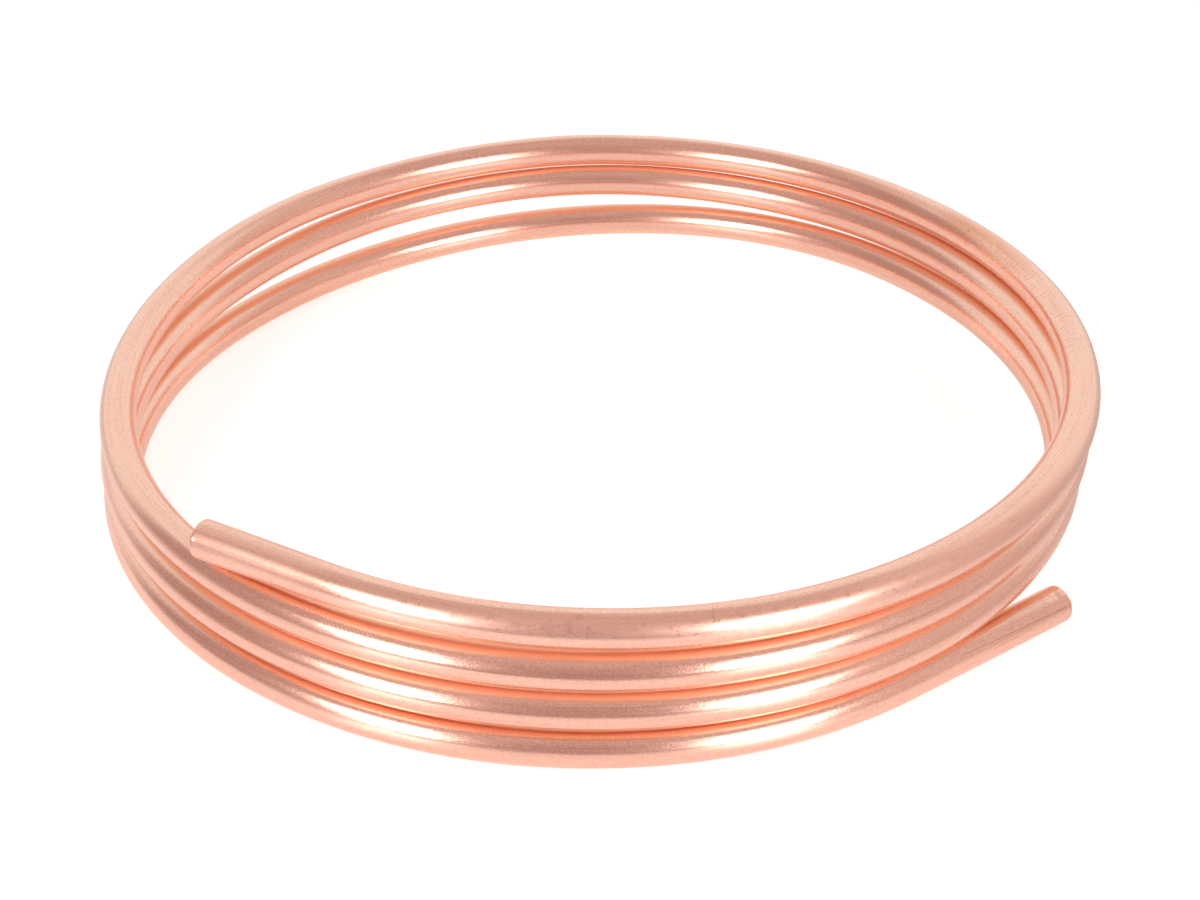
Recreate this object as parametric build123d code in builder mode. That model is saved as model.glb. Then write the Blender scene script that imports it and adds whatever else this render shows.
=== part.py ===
from build123d import *
import math
import os

os.makedirs("parts", exist_ok=True)

# Millimetres, +Z up. The coil lies unheld on the floor, with its middle near the Z axis.
# Seen from above, the tube runs anticlockwise while it winds down from the top end to the tail.
# Angles are in degrees round the coil from +X, counted on past 360 from the top end.

# Tube
tube_diameter = 10.0
tube_wall = 0.8

# Coil
coil_diameter = 263.8        # across the middle of the tube, at the tail
turn_gap = 0.3               # between a turn and the one below it
top_angle = -119.5           # where the bend starts, after the straight top end
tail_angle = 1026.0          # where the bend ends, before the straight tail

# The coil was wound a little loosely, so it opens and leans from the tail to the top end.
top_spread = 1.8             # the radius grows by this much
top_drift = 6.7              # the turns lie more and more to one side, up to this much
drift_angle = 62.0           # and this is the side
drift_power = 1.5            # above 1, the drift grows faster towards the top

# A turn keeps its level round the front and steps down by one pitch at the back left.
# The last step sets the tube down on the floor, where it lies flat to the end of the tail.
step_middle_angles = (145.0, 481.5)
step_width = 118.0
last_step_width = 104.0
landing_angle = 868.0
even_share = 0.12            # part of the pitch that the tube goes down evenly, between the steps
even_end_angle = 760.0

# Straight ends
top_end_length = 35.5
top_end_lift = 0.4           # the cut end springs up this much off the turn below it
lift_width = 45.0
tail_length = 53.4
cut_edge_radius = 0.35       # the outer edge that a wheel cutter rolls in at each cut

# Bends of the path
bend_angle = 20.0            # turned by each bend
bend_share = 0.96            # part of a run that the bends at its two ends take up

bore_diameter = tube_diameter - 2 * tube_wall
coil_radius = coil_diameter / 2
turn_pitch = tube_diameter + turn_gap


def smooth_step(position):
    """0 before a stretch and 1 after it, with an even curve from one to the other."""
    inside = min(max(position, 0.0), 1.0)
    return inside * inside * (3 - 2 * inside)


def height(angle):
    """Height of the middle of the tube."""
    even_turns = max(even_end_angle - angle, 0.0) / 360
    steps = sum(smooth_step((middle - angle) / step_width + 0.5) for middle in step_middle_angles)
    last_step = smooth_step((landing_angle - angle) / last_step_width)
    turns = even_share * even_turns + (1 - even_share) * steps + last_step
    lift = top_end_lift * smooth_step((top_angle - angle) / lift_width + 1)
    return tube_diameter / 2 + turn_pitch * turns + lift


def place(angle, radius):
    """A point of the path, for this radius at the tail."""
    wound_on = (tail_angle - angle) / (tail_angle - top_angle)
    turn_radius = radius + top_spread * wound_on
    drift = top_drift * wound_on**drift_power
    along = math.radians(angle)
    aside = math.radians(drift_angle)
    return Vector(
        turn_radius * math.cos(along) + drift * math.cos(aside),
        turn_radius * math.sin(along) + drift * math.sin(aside),
        height(angle),
    )


# The corners of the route stand just outside the coil, so that its rounded bends have its radius.
bend_count = round((tail_angle - top_angle) / bend_angle)
bend_step = (tail_angle - top_angle) / bend_count
corner_radius = coil_radius / math.cos(math.radians(bend_step / 2))
corners = [place(top_angle + bend_step * (number + 0.5), corner_radius) for number in range(bend_count)]

bend_start = place(top_angle, coil_radius)
bend_end = place(tail_angle, coil_radius)
top_end_direction = (bend_start - corners[0]).normalized()
tail_direction = (bend_end - corners[-1]).normalized()
top_tip = bend_start + top_end_direction * top_end_length
tail_tip = bend_end + tail_direction * tail_length

route = [top_tip, *corners, tail_tip]


def bend_radius(number):
    """The largest radius that the shorter of the two runs beside this corner has room for."""
    before = route[number] - route[number - 1]
    after = route[number + 1] - route[number]
    room = bend_share / 2 * min(before.length, after.length)
    return room / math.tan(math.radians(before.get_angle(after) / 2))


bend_radii = [bend_radius(number) for number in range(1, len(route) - 1)]
print(f"bends {len(bend_radii)}, radii {min(bend_radii):.1f} to {max(bend_radii):.1f}")

with BuildLine():
    tube_path = FilletPolyline(*route, radius=bend_radii)

# One piece of round tube: the bore follows the path, and the wall grows out from it.
# The two cut faces stay open.
with BuildPart() as wound_tube:
    with BuildSketch(Plane(origin=tube_path @ 0, z_dir=tube_path % 0)):
        Circle(bore_diameter / 2)
    sweep(path=tube_path)
    cut_faces = wound_tube.faces().filter_by(GeomType.PLANE)
    offset(amount=tube_wall, openings=cut_faces, kind=Kind.INTERSECTION)
    # A wheel cutter rolls the outer edge in at each cut.
    for tip, direction in ((top_tip, top_end_direction), (tail_tip, tail_direction)):
        across = Plane(origin=tip, z_dir=direction).x_dir
        with BuildSketch(Plane(origin=tip, x_dir=across, z_dir=across.cross(direction))):
            with BuildLine():
                outer_corner = Polyline(
                    (tube_diameter / 2 - cut_edge_radius, 0),
                    (tube_diameter / 2 + tube_wall, 0),
                    (tube_diameter / 2 + tube_wall, -cut_edge_radius),
                    (tube_diameter / 2, -cut_edge_radius),
                )
                RadiusArc(outer_corner @ 1, outer_corner @ 0, cut_edge_radius)
            make_face()
        revolve(axis=Axis(tip, direction), mode=Mode.SUBTRACT)

# The origin is on the floor, under the middle of the coil's box.
wound_box = wound_tube.part.bounding_box()
to_origin = Vector(-wound_box.center().X, -wound_box.center().Y, -wound_box.min.Z)

with BuildPart() as copper_tube:
    with Locations(to_origin):
        add(wound_tube.part)

copper_tube.part.label = "copper_tube"
export_step(copper_tube.part, "parts/copper_tube.step")

wall_area = math.pi * (tube_diameter**2 - bore_diameter**2) / 4
print(f"length {tube_path.length:.1f}, volume {copper_tube.part.volume:.1f}")
print(f"wall area times length {wall_area * tube_path.length:.1f}")
print(f"top end {top_tip + to_origin}, out along {top_end_direction}")
print(f"tail end {tail_tip + to_origin}, out along {tail_direction}")
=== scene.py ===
# %% [markdown]
# # A coil of soft copper tube
#
# The real object is one length of bare soft copper tube, 10 mm across, wound by hand into a
# loose coil of a little over three turns. It lies on a white studio table, and both cut ends
# show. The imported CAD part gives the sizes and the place. This lesson builds the tube again as
# a fine mesh over that frame, and spends its effort on the metal.

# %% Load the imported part
import math

import bpy
import numpy as np
from mathutils import Matrix, Vector


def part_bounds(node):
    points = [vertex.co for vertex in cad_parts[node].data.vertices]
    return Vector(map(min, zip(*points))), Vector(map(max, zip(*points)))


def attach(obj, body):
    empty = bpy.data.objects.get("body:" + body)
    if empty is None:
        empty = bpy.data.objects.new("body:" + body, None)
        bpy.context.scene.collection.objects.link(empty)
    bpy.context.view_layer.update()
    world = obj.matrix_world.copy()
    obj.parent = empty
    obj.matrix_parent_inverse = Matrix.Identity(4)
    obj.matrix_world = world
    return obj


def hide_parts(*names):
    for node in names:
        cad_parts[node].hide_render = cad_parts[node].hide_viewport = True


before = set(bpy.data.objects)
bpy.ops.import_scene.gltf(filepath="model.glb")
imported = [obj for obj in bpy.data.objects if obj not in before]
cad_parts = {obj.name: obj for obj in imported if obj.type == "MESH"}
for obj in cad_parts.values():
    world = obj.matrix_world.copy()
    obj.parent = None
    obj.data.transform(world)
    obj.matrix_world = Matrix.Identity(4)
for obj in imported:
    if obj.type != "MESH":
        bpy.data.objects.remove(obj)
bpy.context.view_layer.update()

part_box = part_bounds("copper_tube")

# %% [markdown]
# ## The line of the tube
#
# A coil could be a screw modifier or a Bezier helix. The real one is neither: each turn keeps
# its level round the front and steps down at the back left, and the last step lays the tube on
# the table. So the line is a rule of the angle round the coil, with the same named sizes as
# the CAD source, here in metres.

# %% Sizes of the tube and the coil
tube_radius = 0.005
wall = 0.0008
bore_radius = tube_radius - wall
coil_radius = 0.1319
turn_pitch = 0.0103

# Angles are in degrees round the coil, counted on past 360 from the top end to the tail.
top_angle = -119.5
tail_angle = 1026.0
top_end_length = 0.0355
tail_length = 0.0534

# The coil opens and leans to one side towards its top end.
top_spread = 0.0018
top_drift = 0.0067
drift_power = 1.5
drift_angle = 62.0

# Two steps down at the back left, and the last step down to the table.
step_middle_angles = (145.0, 481.5)
step_width = 118.0
last_step_width = 104.0
landing_angle = 868.0
even_share = 0.12
even_end_angle = 760.0
top_end_lift = 0.0004
lift_width = 45.0

# At the back the loose turns leave the even rule, until they nearly touch: the top turn lies up
# to 1.3 mm lower, and the second turn up to 1 mm higher. Each row has its start and end angle,
# the width of its ramps, and its rise in metres. Rows that overlap add up.
back_sags = (
    (38.0, 58.0, 35.0, -0.0005),
    (94.0, 114.0, 35.0, -0.0009),
    (112.0, 120.0, 22.0, -0.0004),
    (460.0, 480.0, 35.0, 0.0010),
)
print(f"tube {2000 * tube_radius:.0f} mm across, coil {2000 * coil_radius:.1f} mm")


# %% The rule of the line
def smooth_step(position):
    """0 before a stretch and 1 after it, with an even curve between."""
    inside = np.clip(position, 0.0, 1.0)
    return inside * inside * (3 - 2 * inside)


def rise(angle, start, end, soft):
    """1 between two angles, with a smooth rise before the first and fall after the second."""
    return smooth_step((angle - start) / soft + 1) * smooth_step((end - angle) / soft + 1)


def height(angle):
    """Height of the middle of the tube over the table."""
    turns = even_share * np.maximum(even_end_angle - angle, 0.0) / 360
    for middle in step_middle_angles:
        turns = turns + (1 - even_share) * smooth_step((middle - angle) / step_width + 0.5)
    turns = turns + smooth_step((landing_angle - angle) / last_step_width)
    lift = top_end_lift * smooth_step((top_angle - angle) / lift_width + 1)
    for start, end, ramp, amount in back_sags:
        lift = lift + amount * rise(angle, start, end, ramp)
    return tube_radius + turn_pitch * turns + lift


def wound_line(angles):
    """Points on the middle of the tube at these angles round the coil."""
    wound_on = (tail_angle - angles) / (tail_angle - top_angle)
    turn_radius = coil_radius + top_spread * wound_on
    drift = top_drift * wound_on**drift_power
    along = np.radians(angles)
    aside = math.radians(drift_angle)
    x = turn_radius * np.cos(along) + drift * math.cos(aside)
    y = turn_radius * np.sin(along) + drift * math.sin(aside)
    return np.stack([x, y, height(angles)], axis=1)


bend_points = 4600
top_end_points = 60
tail_points = 100
wound = wound_line(np.linspace(top_angle, tail_angle, bend_points))
top_way = wound[0] - wound[1]
top_way /= np.linalg.norm(top_way)
tail_way = wound[-1] - wound[-2]
tail_way /= np.linalg.norm(tail_way)
top_steps = np.linspace(top_end_length, 0, top_end_points, endpoint=False)
tail_steps = np.linspace(0, tail_length, tail_points + 1)[1:]
top_run = wound[0] + top_way * top_steps[:, None]
tail_run = wound[-1] + tail_way * tail_steps[:, None]
line = np.concatenate([top_run, wound, tail_run])
line_steps = np.linalg.norm(np.diff(line, axis=0), axis=1)
line_lengths = np.concatenate([[0.0], np.cumsum(line_steps)])
tube_length = line_lengths[-1]
print(f"tube length {tube_length:.4f} m in {len(line)} points")


# %% [markdown]
# ## Rings along the tube
#
# The skin of the tube is a long stack of rings. A Bezier curve with a round bevel would place
# them by itself, but then they can't follow the marks. Rings 1.4 mm apart keep the bend round,
# and they stand closer near the two cuts and where the bending rolls left chatter marks on the
# top turn, because there the shape is finer.

# %% Where the rings go
chatter_start = 0.296
chatter_end = 0.398
end_zone = 0.014
chatter_spacing = 0.0004
end_spacing = 0.0005
plain_spacing = 0.0014
first_ring = 0.0014


def ring_spacing(length):
    """Distance from one ring to the next."""
    if chatter_start < length < chatter_end:
        return chatter_spacing
    if min(length, tube_length - length) < end_zone:
        return end_spacing
    return plain_spacing


ring_lengths = [first_ring]
while ring_lengths[-1] < tube_length - first_ring:
    ring_lengths.append(ring_lengths[-1] + ring_spacing(ring_lengths[-1]))
ring_lengths[-1] = tube_length - first_ring
print(len(ring_lengths), "rings on the outside")

# %% [markdown]
# ## The two cuts
#
# A wheel cutter presses the wall in before it parts, so each cut end closes by some tenths of
# a millimetre and its outer edge is rolled round. The inner edge keeps a thin burr. The rings
# follow that shape: out over the rolled edge, across the wall, and back down the bore, so the
# tube is one closed skin with its real wall and its real bore.

# %% Rings over the rolled edges, the wall and the bore
# Distances from the cut and the radii there.
roll_in = np.array([0.0, 0.00004, 0.00014, 0.0003, 0.0006, 0.001])
roll_radius = np.array([0.00455, 0.00471, 0.00484, 0.00493, 0.00498, 0.005])
burr_in = np.array([-0.00006, 0.0001, 0.0006])
burr_radius = np.array([0.00402, 0.0039, 0.00412])
bore_start = 0.012
bore_spacing = 0.016
bore_lengths = np.arange(tube_length - bore_start, bore_start, -bore_spacing)

lengths = np.concatenate(
    [
        roll_in,
        np.array(ring_lengths),
        tube_length - roll_in[::-1],
        tube_length - burr_in,
        bore_lengths,
        burr_in[::-1],
    ]
)
radii = np.concatenate(
    [
        roll_radius,
        np.full(len(ring_lengths), tube_radius),
        roll_radius[::-1],
        burr_radius,
        np.full(len(bore_lengths), bore_radius),
        burr_radius[::-1],
    ]
)
outer_rings = 2 * len(roll_in) + len(ring_lengths)
print(len(lengths), "rings in the closed skin")

# %% [markdown]
# ## What the winding did to the skin
#
# Nothing stands out from the drawn tube, so every mark only goes inward. A bend flattens the
# tube a little. Hands leave long shallow waves, which make the reflections wander. The rolls
# leave ridges across the top of the tube at the back right. The tail has a hooked nick close
# to its cut.

# %% Waves and hollows
sides = 40
turn = np.arange(sides) / sides * 2 * np.pi
uneven = np.random.default_rng(7)


def long_waves(length, count, shortest, longest):
    """Uneven waves along the tube and round it, from -1 to 1."""
    total = np.zeros((len(length), sides))
    for _ in range(count):
        wavelength = uneven.uniform(shortest, longest)
        lobes = uneven.integers(0, 4)
        start = uneven.uniform(0, 2 * np.pi)
        face = uneven.uniform(0, 2 * np.pi)
        total += np.sin(length[:, None] * 2 * np.pi / wavelength + start) * np.cos(
            lobes * (turn[None, :] - face)
        )
    return total / count


def around_from(degrees):
    """Degrees round the tube from this place, from -180 to 180."""
    return (np.degrees(turn)[None, :] - degrees + 180) % 360 - 180


def hollow(length, place_mm, degrees, long_mm, wide_degrees):
    """A shallow round hollow in the skin, 1 in its middle."""
    far = ((1000 * length[:, None] - place_mm) / long_mm) ** 2
    far = far + (around_from(degrees) / wide_degrees) ** 2
    return np.exp(-far)


print(sides, "points round each ring")

# %% Waves and flattened bends
wave_depth = 0.00002
flat_depth = 0.000015
outside = lengths[:outer_rings]
skin = np.zeros((len(lengths), sides))
skin[:outer_rings] += wave_depth * (1 + long_waves(outside, 14, 0.018, 0.09))
skin[:outer_rings] += flat_depth * (1 + np.cos(2 * turn))[None, :]
print(f"waves up to {1e6 * skin.max():.0f} thousandths of a millimetre")

# %% Chatter ridges at the back right
ridge_depth = 0.000006
ridge_distance = 0.0019
chatter_soft = 0.02
ridges = np.sin(2 * np.pi * (outside / ridge_distance + 0.4 * np.sin(outside / 0.0083)))
ridges = ridges * np.sin(2 * np.pi * outside / 0.0131 + 1.0) ** 2
chatter_zone = smooth_step((outside - chatter_start) / chatter_soft)
chatter_zone = chatter_zone * smooth_step((chatter_end - outside) / chatter_soft)
on_top = np.exp(-((around_from(118.0) / 48.0) ** 2))
skin[:outer_rings] += ridge_depth * ((1 + ridges) * chatter_zone)[:, None] * on_top
print(f"ridges over {1000 * (chatter_end - chatter_start):.0f} mm")

# %% The nick at the tail and some dents
# Place in mm along the tube and in degrees round it, length in mm, width in degrees, depth.
tail_mm = 1000 * tube_length
dent_length = 2.4
dent_width = 22.0
dents = [
    (tail_mm - 3.4, 70.0, 0.8, 9.0, 0.00022),
    (tail_mm - 5.2, 66.0, 0.9, 7.0, 0.00014),
]
for place_mm, degrees, depth in (
    (132.0, 40.0, 0.00006),
    (246.0, 100.0, 0.00005),
    (511.0, 70.0, 0.00007),
    (1012.0, 35.0, 0.00006),
    (1422.0, 60.0, 0.00005),
    (1790.0, 30.0, 0.00006),
    (2266.0, 75.0, 0.00006),
    (2598.9, -4.0, 0.00009),
):
    dents.append((place_mm, degrees, dent_length, dent_width, depth))
for place_mm, degrees, long_mm, wide_degrees, depth in dents:
    skin[:outer_rings] += depth * hollow(outside, place_mm, degrees, long_mm, wide_degrees)
print(f"deepest mark {1000 * skin.max():.2f} mm")


# %% [markdown]
# ## Where the metal is worn
#
# Wear has a place too. The front of the top turn is rubbed, the back right is stained, the top
# cut is brushed, and the turns have rubbed each other dull where they lie on each other. There
# their colour is also made lighter, as painted light in the creases. These soft zones could be
# masks in the shader. Kept on the mesh points they cost nothing at render time, and the shader
# only breaks up their edges.

# %% Soft zones of wear
def zone(start_mm, end_mm, soft_mm, degrees, wide_degrees):
    """1 on one side of a stretch of the tube, with soft ends and edges."""
    place_mm = 1000 * lengths[:, None]
    stretch = smooth_step((place_mm - start_mm) / soft_mm + 1)
    stretch = stretch * smooth_step((end_mm - place_mm) / soft_mm + 1)
    return stretch * smooth_step((wide_degrees - np.abs(around_from(degrees))) / 30.0 + 0.5)


# Where the turns touch they are rubbed dull, and their colour is painted lighter as light in the
# creases.
touching_above = zone(900.0, 2480.0, 40.0, 90.0, 26.0)
touching_below = zone(20.0, 2480.0, 60.0, 270.0, 58.0)

# Rubbed, stained and ridged.
wear = np.stack(
    [
        zone(64.0, 250.0, 40.0, 36.0, 36.0),
        zone(360.0, 386.0, 16.0, 122.0, 40.0),
        zone(306.0, 380.0, 14.0, 130.0, 26.0),
    ],
    axis=2,
)

# Cross hatched, brushed, and dull where the turns touch, with painted light in the creases there.
rubs_and_crease_light = np.stack(
    [
        zone(878.0, 889.0, 4.0, 62.0, 18.0),
        zone(0.0, 26.0, 16.0, 50.0, 80.0),
        np.maximum(touching_above, touching_below),
    ],
    axis=2,
)
print("worn share of the points", np.round(wear.mean(axis=(0, 1)), 4))


# %% [markdown]
# ## One closed skin
#
# The real tube is one drawn piece, so its mesh is one skin with no seam. A curve with a round
# bevel would give the outside only. Here each ring stands square to the line, and the rings run
# out along the tube, over the cut, back down the bore and round to the first one again.

# %% Points of the mesh
def at_lengths(lengths):
    """Points of the line at these lengths."""
    return np.stack([np.interp(lengths, line_lengths, line[:, axis]) for axis in range(3)], 1)


middle = at_lengths(np.clip(lengths, 0.0, tube_length))
reach = 0.0004
way = at_lengths(lengths + reach) - at_lengths(lengths - reach)
way /= np.linalg.norm(way, axis=1)[:, None]
side = np.cross(way, (0.0, 0.0, 1.0))
side /= np.linalg.norm(side, axis=1)[:, None]
up = np.cross(side, way)
middle += way * (lengths - np.clip(lengths, 0.0, tube_length))[:, None]

# %% The rings in space
burr_depth = 0.00004
ring_radii = radii[:, None] - skin
burr_wave = 1 + 0.5 * np.sin(3 * turn + 0.7) + 0.5 * np.sin(7 * turn)
ring_radii[outer_rings] -= burr_depth * burr_wave
ring_radii[-1] -= burr_depth * burr_wave
points = (
    middle[:, None, :]
    + (ring_radii * np.cos(turn))[:, :, None] * side[:, None, :]
    + (ring_radii * np.sin(turn))[:, :, None] * up[:, None, :]
)
low = points.reshape(-1, 3).min(0)
high = points.reshape(-1, 3).max(0)
box_middle = (Vector(part_box[0]) + Vector(part_box[1])) / 2
points[:, :, 0] += box_middle.x - (low[0] + high[0]) / 2
points[:, :, 1] += box_middle.y - (low[1] + high[1]) / 2
print(f"lowest point {1000 * low[2]:.3f} mm over the table")

# %% The tube as one closed skin
rings = len(lengths)
faces = []
for ring in range(rings):
    after = (ring + 1) % rings
    for number in range(sides):
        beside = (number + 1) % sides
        faces.append(
            (
                ring * sides + number,
                ring * sides + beside,
                after * sides + beside,
                after * sides + number,
            )
        )
print(len(faces), "faces")

# %% The mesh and what its points carry
mesh = bpy.data.meshes.new("wound_copper_tube")
mesh.from_pydata(points.reshape(-1, 3).tolist(), [], faces)
straight_place = np.zeros((rings, sides, 3), np.float32)
straight_place[:, :, 0] = 1000 * radii[:, None] * np.cos(turn)
straight_place[:, :, 1] = 1000 * radii[:, None] * np.sin(turn)
straight_place[:, :, 2] = 1000 * lengths[:, None]
for name, values in (("straight_place", straight_place), ("wear", wear), ("rubs_and_crease_light", rubs_and_crease_light)):
    attribute = mesh.attributes.new(name, "FLOAT_VECTOR", "POINT")
    attribute.data.foreach_set("vector", values.astype(np.float32).ravel())
mesh.shade_smooth()
mesh.update()
tube = bpy.data.objects.new("wound_copper_tube", mesh)
bpy.context.scene.collection.objects.link(tube)
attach(tube, "root")
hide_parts("copper_tube")
print("triangles", 2 * len(faces))

# %% [markdown]
# ## Shader maths
#
# A finish is a small sum of masks and colours. Written as plain sums it stays readable, so one
# class wraps a socket, and an expression on it adds the Math nodes.

# %% Sockets as values
class Wire:
    """A socket of a shader tree. Maths on it adds Math nodes."""

    def __init__(self, sheet, socket):
        self.sheet = sheet
        self.socket = socket

    def maths(self, operation, *others):
        """A Math node on this value, and on others after it."""
        return self.sheet.node(
            "ShaderNodeMath", {"operation": operation}, enumerate((self, *others))
        )

    def __add__(self, other):
        return self.maths("ADD", other)

    def __sub__(self, other):
        return self.maths("SUBTRACT", other)

    def __rsub__(self, other):
        return self.sheet.node("ShaderNodeMath", {"operation": "SUBTRACT"}, {0: other, 1: self})

    def __mul__(self, other):
        return self.maths("MULTIPLY", other)

    def __truediv__(self, other):
        return self.maths("DIVIDE", other)

    def __pow__(self, other):
        return self.maths("POWER", other)

    __radd__ = __add__
    __rmul__ = __mul__

    def size(self):
        """The value without its sign."""
        return self.maths("ABSOLUTE")

    def either(self, other):
        """The larger of two masks."""
        return self.maths("MAXIMUM", other)

    def between(self, low, high):
        """0 below low, 1 above high, and smooth between."""
        return self.sheet.node(
            "ShaderNodeMapRange",
            {"interpolation_type": "SMOOTHSTEP"},
            {"Value": self, "From Min": low, "From Max": high},
        )

    def within(self, low, high, soft):
        """1 from low to high, with soft ends outside."""
        return self.between(low - soft, low) * (1.0 - self.between(high, high + soft))


# %% Trees as sheets
class Sheet:
    """A shader tree, written node by node."""

    def __init__(self, owner):
        owner.use_nodes = True
        self.tree = owner.node_tree
        self.tree.nodes.clear()

    def node(self, kind, settings=(), sockets=(), output=0):
        """A new node with its settings and its sockets filled in, as the wire of one output."""
        made = self.tree.nodes.new(kind)
        for name, value in dict(settings).items():
            setattr(made, name, value)
        for name, value in dict(sockets).items():
            if isinstance(value, Wire):
                self.tree.links.new(value.socket, made.inputs[name])
            else:
                made.inputs[name].default_value = value
        if not made.outputs:
            return None
        return Wire(self, made.outputs[output])

    def blend(self, factor, first, second):
        """One colour passing into another."""
        return self.node(
            "ShaderNodeMix",
            {"data_type": "RGBA"},
            {0: factor, 6: first, 7: second},
            output=2,
        )

    def parts(self, vector):
        """The three values of a vector."""
        first = self.node("ShaderNodeSeparateXYZ", {}, {0: vector})
        return [Wire(self, socket) for socket in first.socket.node.outputs]


# %% [markdown]
# ## Places on the straightened tube
#
# Marks on a tube are easiest to place on the tube before it was wound. Each point of the mesh
# carries its place on that straight tube, in millimetres. From it come two rulers: how far
# along the tube from the top cut, and how far round the tube from its outward side.

# %% Rulers along and round the tube
copper = bpy.data.materials.new("bare_copper")
sheet = Sheet(copper)


def carried(name):
    """The vector that the mesh points carry under this name."""
    return sheet.node("ShaderNodeAttribute", {"attribute_name": name}, output="Vector")


straight = carried("straight_place")
outward, upward, along = sheet.parts(straight)
rubbed_zone, stained_zone, ridged_zone = sheet.parts(carried("wear"))
hatched_zone, brushed_zone, dull_and_crease_light_zone = sheet.parts(carried("rubs_and_crease_light"))
radians_round = upward.maths("ARCTAN2", outward)


def grain(size_round, size_along, detail=2.0, seed=0.0, kind="ShaderNodeTexNoise"):
    """Noise that is this many millimetres coarse round and along the tube."""
    sizes = (1 / size_round, 1 / size_round, 1 / size_along)
    place = sheet.node(
        "ShaderNodeVectorMath",
        {"operation": "MULTIPLY_ADD"},
        {0: straight, 1: sizes, 2: (seed, seed, seed)},
    )
    return sheet.node(kind, {}, {"Vector": place, "Scale": 1.0, "Detail": detail})


# %% [markdown]
# ## Bare copper
#
# The tube is drawn, so fine straight lines run along it, and annealed, so it has a soft grain
# that sparkles in the dark reflections. Image textures could carry that, but noise stretched
# along the straightened tube does it at any size, and follows every turn without a seam.

# %% The drawn and annealed surface
draw_lines = grain(0.42, 40.0, seed=3.0)
broad_lines = grain(1.1, 90.0, seed=5.0)
speckle = grain(0.40, 0.52, detail=2.0, seed=11.0)
clouds = grain(5.0, 26.0, seed=23.0)
blotches = grain(1.5, 2.0, seed=31.0)
specks = grain(5.0, 7.0, seed=43.0, kind="ShaderNodeTexVoronoi")
pits = 1.0 - specks.between(0.035, 0.085)
print(len(sheet.tree.nodes), "nodes up to the bare surface")

# %% [markdown]
# ## Wear
#
# Each mark of the photo gets a short rule on the two rulers. A thin scratch is the distance from
# a curve, cut off at its ends. The broad wear takes its zone from the mesh and its ragged edge
# from the noise. The marks are too thin for the mesh, so they change the colour and the gloss.

# %% Scratches and spots
round_mm = radians_round * (1000 * tube_radius) + 0.4 * (blotches - 0.5)


def along_scratch(start, end, at_start, at_end, bow, width):
    """A thin mark along the tube, which goes round from one place to another."""
    share = (along - start) / (end - start)
    aside = round_mm - at_start - share * (at_end - at_start + bow) + share * share * bow
    line_mask = 1.0 - aside.size().between(width * 0.3, width)
    return line_mask * share.within(0.0, 1.0, 0.03)


def spot(along_mm, round_place, radius):
    """A round mark."""
    far = (along - along_mm) ** 2.0 + (round_mm - round_place) ** 2.0
    return 1.0 - far.between(0.1 * radius * radius, radius * radius)


# %% The scratches of the photo
# The long scratch is a real mark, drawn as a pale line that is a painted highlight on it.
long_scratch_painted_highlight = along_scratch(75.1, 97.4, 6.9, 1.7, 1.6, 0.10)
lean = along - 128.9 - 0.12 * (round_mm - 5.0)
cross_scratch = (1.0 - lean.size().between(0.04, 0.14)) * round_mm.within(1.8, 7.8, 0.4)
tail_scratch = along_scratch(2706.0, 2741.5, 3.3, 2.5, 0.0, 0.12)
tail_scratch = tail_scratch.either(along_scratch(2716.0, 2735.0, 1.2, 1.5, 0.0, 0.10))
hatch = (along * 5.6 + round_mm * 5.2).maths("SINE").between(0.1, 0.8) * hatched_zone
scratches = cross_scratch.either(tail_scratch)
print(len(sheet.tree.nodes), "nodes up to the scratches")

# %% Rubbed, stained and brushed places, and a painted glint
rubbed = rubbed_zone * blotches.between(0.2, 0.5)
stain = stained_zone * (0.4 + 0.6 * clouds.between(0.40, 0.60))
ridge_lines = (along * 3.6 + 9.0 * clouds).maths("SINE")
ridge_dirt = ridged_zone * ridge_lines.between(0.60, 0.98) * blotches.between(0.46, 0.58)
turned_grain = grain(4.0, 0.28, seed=71.0)
brushed = brushed_zone * turned_grain.between(0.48, 0.62)
green_spot = spot(381.3, 11.0, 0.8)
yellow_patch = spot(98.9, 6.4, 1.3)
# A painted glint: a pale, rough spot on the rolled rim of the top cut.
painted_rim_glint = spot(1.0, 2.8, 0.65)

# %% Colour
# Drawn lines and grain first, then the wear with the painted light in the creases, then the spots
# and scratches, the painted highlight on the long scratch and the painted glint on the rim.
colour = sheet.blend(
    clouds.between(0.35, 0.65), (0.93, 0.565, 0.425, 1.0), (0.955, 0.595, 0.455, 1.0)
)
colour = sheet.blend(0.60 * draw_lines.between(0.50, 0.72), colour, (0.79, 0.44, 0.33, 1.0))
colour = sheet.blend(0.50 * speckle.between(0.50, 0.70), colour, (0.99, 0.72, 0.60, 1.0))
colour = sheet.blend(0.40 * speckle.between(0.50, 0.30), colour, (0.74, 0.39, 0.28, 1.0))
colour = sheet.blend(0.40 * rubbed, colour, (0.96, 0.62, 0.49, 1.0))
colour = sheet.blend(0.45 * yellow_patch, colour, (0.82, 0.45, 0.20, 1.0))
colour = sheet.blend(0.60 * stain, colour, (0.82, 0.38, 0.22, 1.0))
colour = sheet.blend(0.60 * ridge_dirt, colour, (0.58, 0.27, 0.15, 1.0))
colour = sheet.blend(0.20 * brushed, colour, (0.98, 0.68, 0.54, 1.0))
# Painted light in the creases: a lighter colour where the turns touch.
colour = sheet.blend(0.85 * dull_and_crease_light_zone, colour, (1.0, 0.65, 0.47, 1.0))
colour = sheet.blend(0.75 * green_spot, colour, (0.38, 0.40, 0.30, 1.0))
colour = sheet.blend(0.55 * scratches.either(pits), colour, (0.42, 0.17, 0.09, 1.0))
colour = sheet.blend(0.45 * hatch, colour, (0.99, 0.78, 0.62, 1.0))
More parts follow.
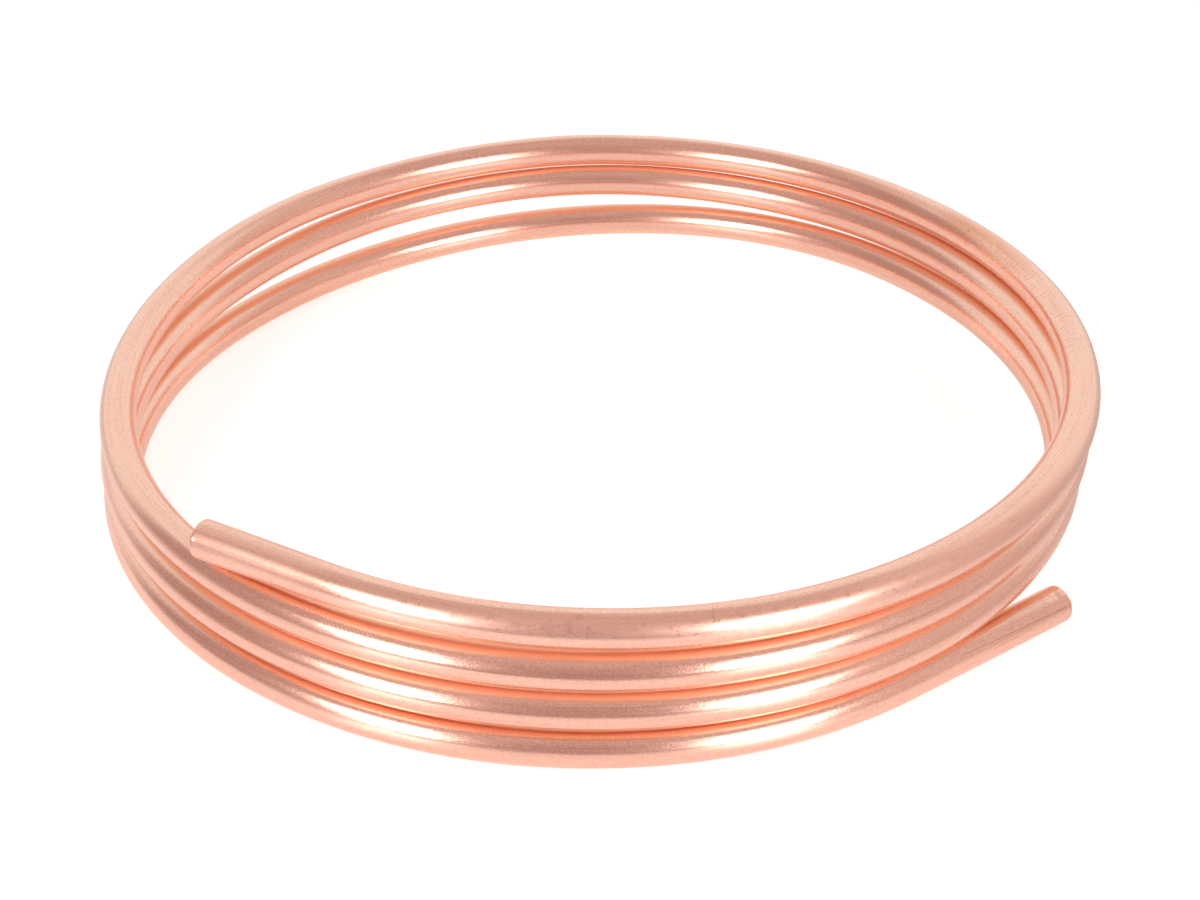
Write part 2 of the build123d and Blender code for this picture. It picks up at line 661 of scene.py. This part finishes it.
# A painted highlight along the long scratch.
colour = sheet.blend(0.70 * long_scratch_painted_highlight, colour, (1.0, 0.82, 0.66, 1.0))
# The painted glint on the rim of the top cut.
colour = sheet.blend(0.85 * painted_rim_glint, colour, (1.0, 0.94, 0.88, 1.0))
print(len(sheet.tree.nodes), "nodes up to the colour")

# %% Roughness and fine relief
roughness = 0.19 + 0.05 * speckle + 0.04 * broad_lines + 0.09 * rubbed + 0.08 * stain
roughness = roughness + 0.12 * brushed_zone + 0.08 * hatch + 0.4 * painted_rim_glint + 0.27 * dull_and_crease_light_zone
relief = 0.55 * speckle + 0.35 * draw_lines
bump = sheet.node("ShaderNodeBump", {}, {"Height": relief, "Strength": 0.35, "Distance": 0.00009})
metal = sheet.node(
    "ShaderNodeBsdfPrincipled",
    {},
    {"Base Color": colour, "Metallic": 1.0, "Roughness": roughness, "Normal": bump},
)
sheet.node("ShaderNodeOutputMaterial", {}, {"Surface": metal})
mesh.materials.append(copper)
print(len(sheet.tree.nodes), "nodes in the copper")

# %% [markdown]
# ## The studio
#
# Bright metal shows its room more than itself. The photo's copper shows a white table that
# ends a hand's breadth in front of the coil, a dim room behind the camera, white paper round
# the back, a dim ceiling and two tall softboxes. The world is painted by direction, and the
# softboxes are real lamps, so they also light the table and leave the soft shadow.

# %% The room round the coil
world = bpy.data.worlds.new("studio")
bpy.context.scene.world = world
sky = Sheet(world)
direction = sky.node("ShaderNodeTexCoord", {}, output="Generated")
ahead_x, ahead_y, ahead_z = sky.parts(direction)
elevation = ahead_z.maths("ARCSINE") * (180 / math.pi)
azimuth = ahead_x.maths("ARCTAN2", ahead_y * -1.0) * (180 / math.pi)
ceiling = elevation.between(38.0, 66.0)
room = (1.0 - azimuth.size().between(104.0, 120.0)) * elevation.between(-50.0, -40.0)
room_colour = sky.blend(azimuth.between(35.0, 75.0), (0.50, 0.37, 0.36, 1), (0.74, 0.61, 0.59, 1))
dim_colour = sky.blend(ceiling, room_colour, (0.66, 0.53, 0.51, 1))
camera_ray = sky.node("ShaderNodeLightPath", {}, output="Is Camera Ray")
around = sky.blend(ceiling.either(room) * (1.0 - camera_ray), (1, 1, 1, 1), dim_colour)
background = sky.node("ShaderNodeBackground", {}, {"Color": around, "Strength": 1.0})
sky.node("ShaderNodeOutputWorld", {}, {"Surface": background})
print(len(sky.tree.nodes), "nodes in the room")

# %% [markdown]
# ## The table
#
# The real table is white paper that the light burns out. White from more light would flatten the
# copper, so only what the camera and the mirror rays see is raised to white. The table still
# takes the soft shadow, and past its front edge the copper mirrors the dark studio floor.

# %% The white table
edge = 3.0
corners = [(-edge, -edge, 0), (edge, -edge, 0), (edge, edge, 0), (-edge, edge, 0)]
table_mesh = bpy.data.meshes.new("table")
table_mesh.from_pydata(corners, [], [(0, 1, 2, 3)])
table = bpy.data.objects.new("table", table_mesh)
bpy.context.scene.collection.objects.link(table)
table.location.z = -0.0002
white = bpy.data.materials.new("white_table")
top = Sheet(white)
seen = top.node("ShaderNodeLightPath", {}, output="Is Camera Ray")
mirrored = top.node("ShaderNodeLightPath", {}, output="Is Glossy Ray")
place_x, place_y, _ = top.parts(top.node("ShaderNodeNewGeometry", {}, output="Position"))
past_edge = mirrored * (1.0 - place_y.between(-0.31, -0.26))
# Seen in the copper, the table is painted darker towards its sides, as painted shade where less
# light reaches them.
far_side = (place_x + 0.03).size().between(0.11, 0.24)
glow = 0.52 * seen + (0.27 - 0.26 * far_side) * (mirrored - past_edge)
dimming = past_edge.either(0.3 * (mirrored * far_side))
shade = top.blend(dimming, (0.8, 0.8, 0.8, 1), (0.28, 0.22, 0.21, 1))
paper = top.node(
    "ShaderNodeBsdfPrincipled",
    {},
    {"Base Color": shade, "Roughness": 0.25, "Emission Color": glow, "Emission Strength": 1.0},
)
top.node("ShaderNodeOutputMaterial", {}, {"Surface": paper})
table_mesh.materials.append(white)
print(f"table {2 * edge:.0f} m wide")


# %% [markdown]
# ## The lamps
#
# Two long bright streaks run round the front of the coil, one on each side. Their place and lean
# on the metal give the place and lean of the softboxes, and real lamps also light the table.

# %% The two softboxes
def softbox(name, azimuth, elevation, lean, wide, tall, level):
    """A soft lamp one metre off that looks at the coil, with its top leaning outward."""
    a = math.radians(azimuth)
    e = math.radians(elevation)
    back = Vector((math.sin(a) * math.cos(e), -math.cos(a) * math.cos(e), math.sin(e)))
    lamp = bpy.data.lights.new(name, "AREA")
    lamp.shape = "RECTANGLE"
    lamp.size = wide
    lamp.size_y = tall
    lamp.color = (1.0, 0.95, 0.99)
    lamp.energy = level * math.pi * wide * tall
    holder = bpy.data.objects.new(name, lamp)
    upright = back.to_track_quat("Z", "Y").to_matrix().to_4x4()
    leaning = Matrix.Rotation(math.radians(lean), 4, "Z")
    holder.matrix_world = Matrix.Translation(back) @ upright @ leaning
    bpy.context.scene.collection.objects.link(holder)


softbox("softbox_left", -41.5, 24.0, 20.0, 0.27, 0.63, 7.0)
softbox("softbox_right", 35.0, 20.0, -14.0, 0.31, 0.60, 7.0)
print("softboxes", [lamp.name for lamp in bpy.data.lights])

# %% [markdown]
# ## The camera
#
# The camera was worked out from the outlines of the turns, the creases between them and the two
# cut ends, so it stands where the photographer's did, about 0.6 m off and 33 degrees up.

# %% Camera
camera_data = bpy.data.cameras.new("camera")
camera = bpy.data.objects.new("camera", camera_data)
bpy.context.scene.collection.objects.link(camera)
bpy.context.scene.camera = camera
camera_data.lens = 61.38
camera_data.sensor_width = 36.0
camera.location = (-0.002871, -0.499876, 0.321685)
forward = Vector((0.00639761, 0.84170957, -0.53989265))
right = Vector((0.99997381, -0.00355764, 0.00630300))
above = right.cross(forward)
down = math.degrees(math.asin(-forward.z))
print(f"camera {camera.location.length:.2f} m off, looking {down:.0f} degrees down")
camera.matrix_world = Matrix.Translation(camera.location) @ Matrix(
    (right, above, -forward)
).transposed().to_4x4()

bpy.context.scene.view_settings.view_transform = "Standard"
bpy.context.scene.cycles.glossy_bounces = 8
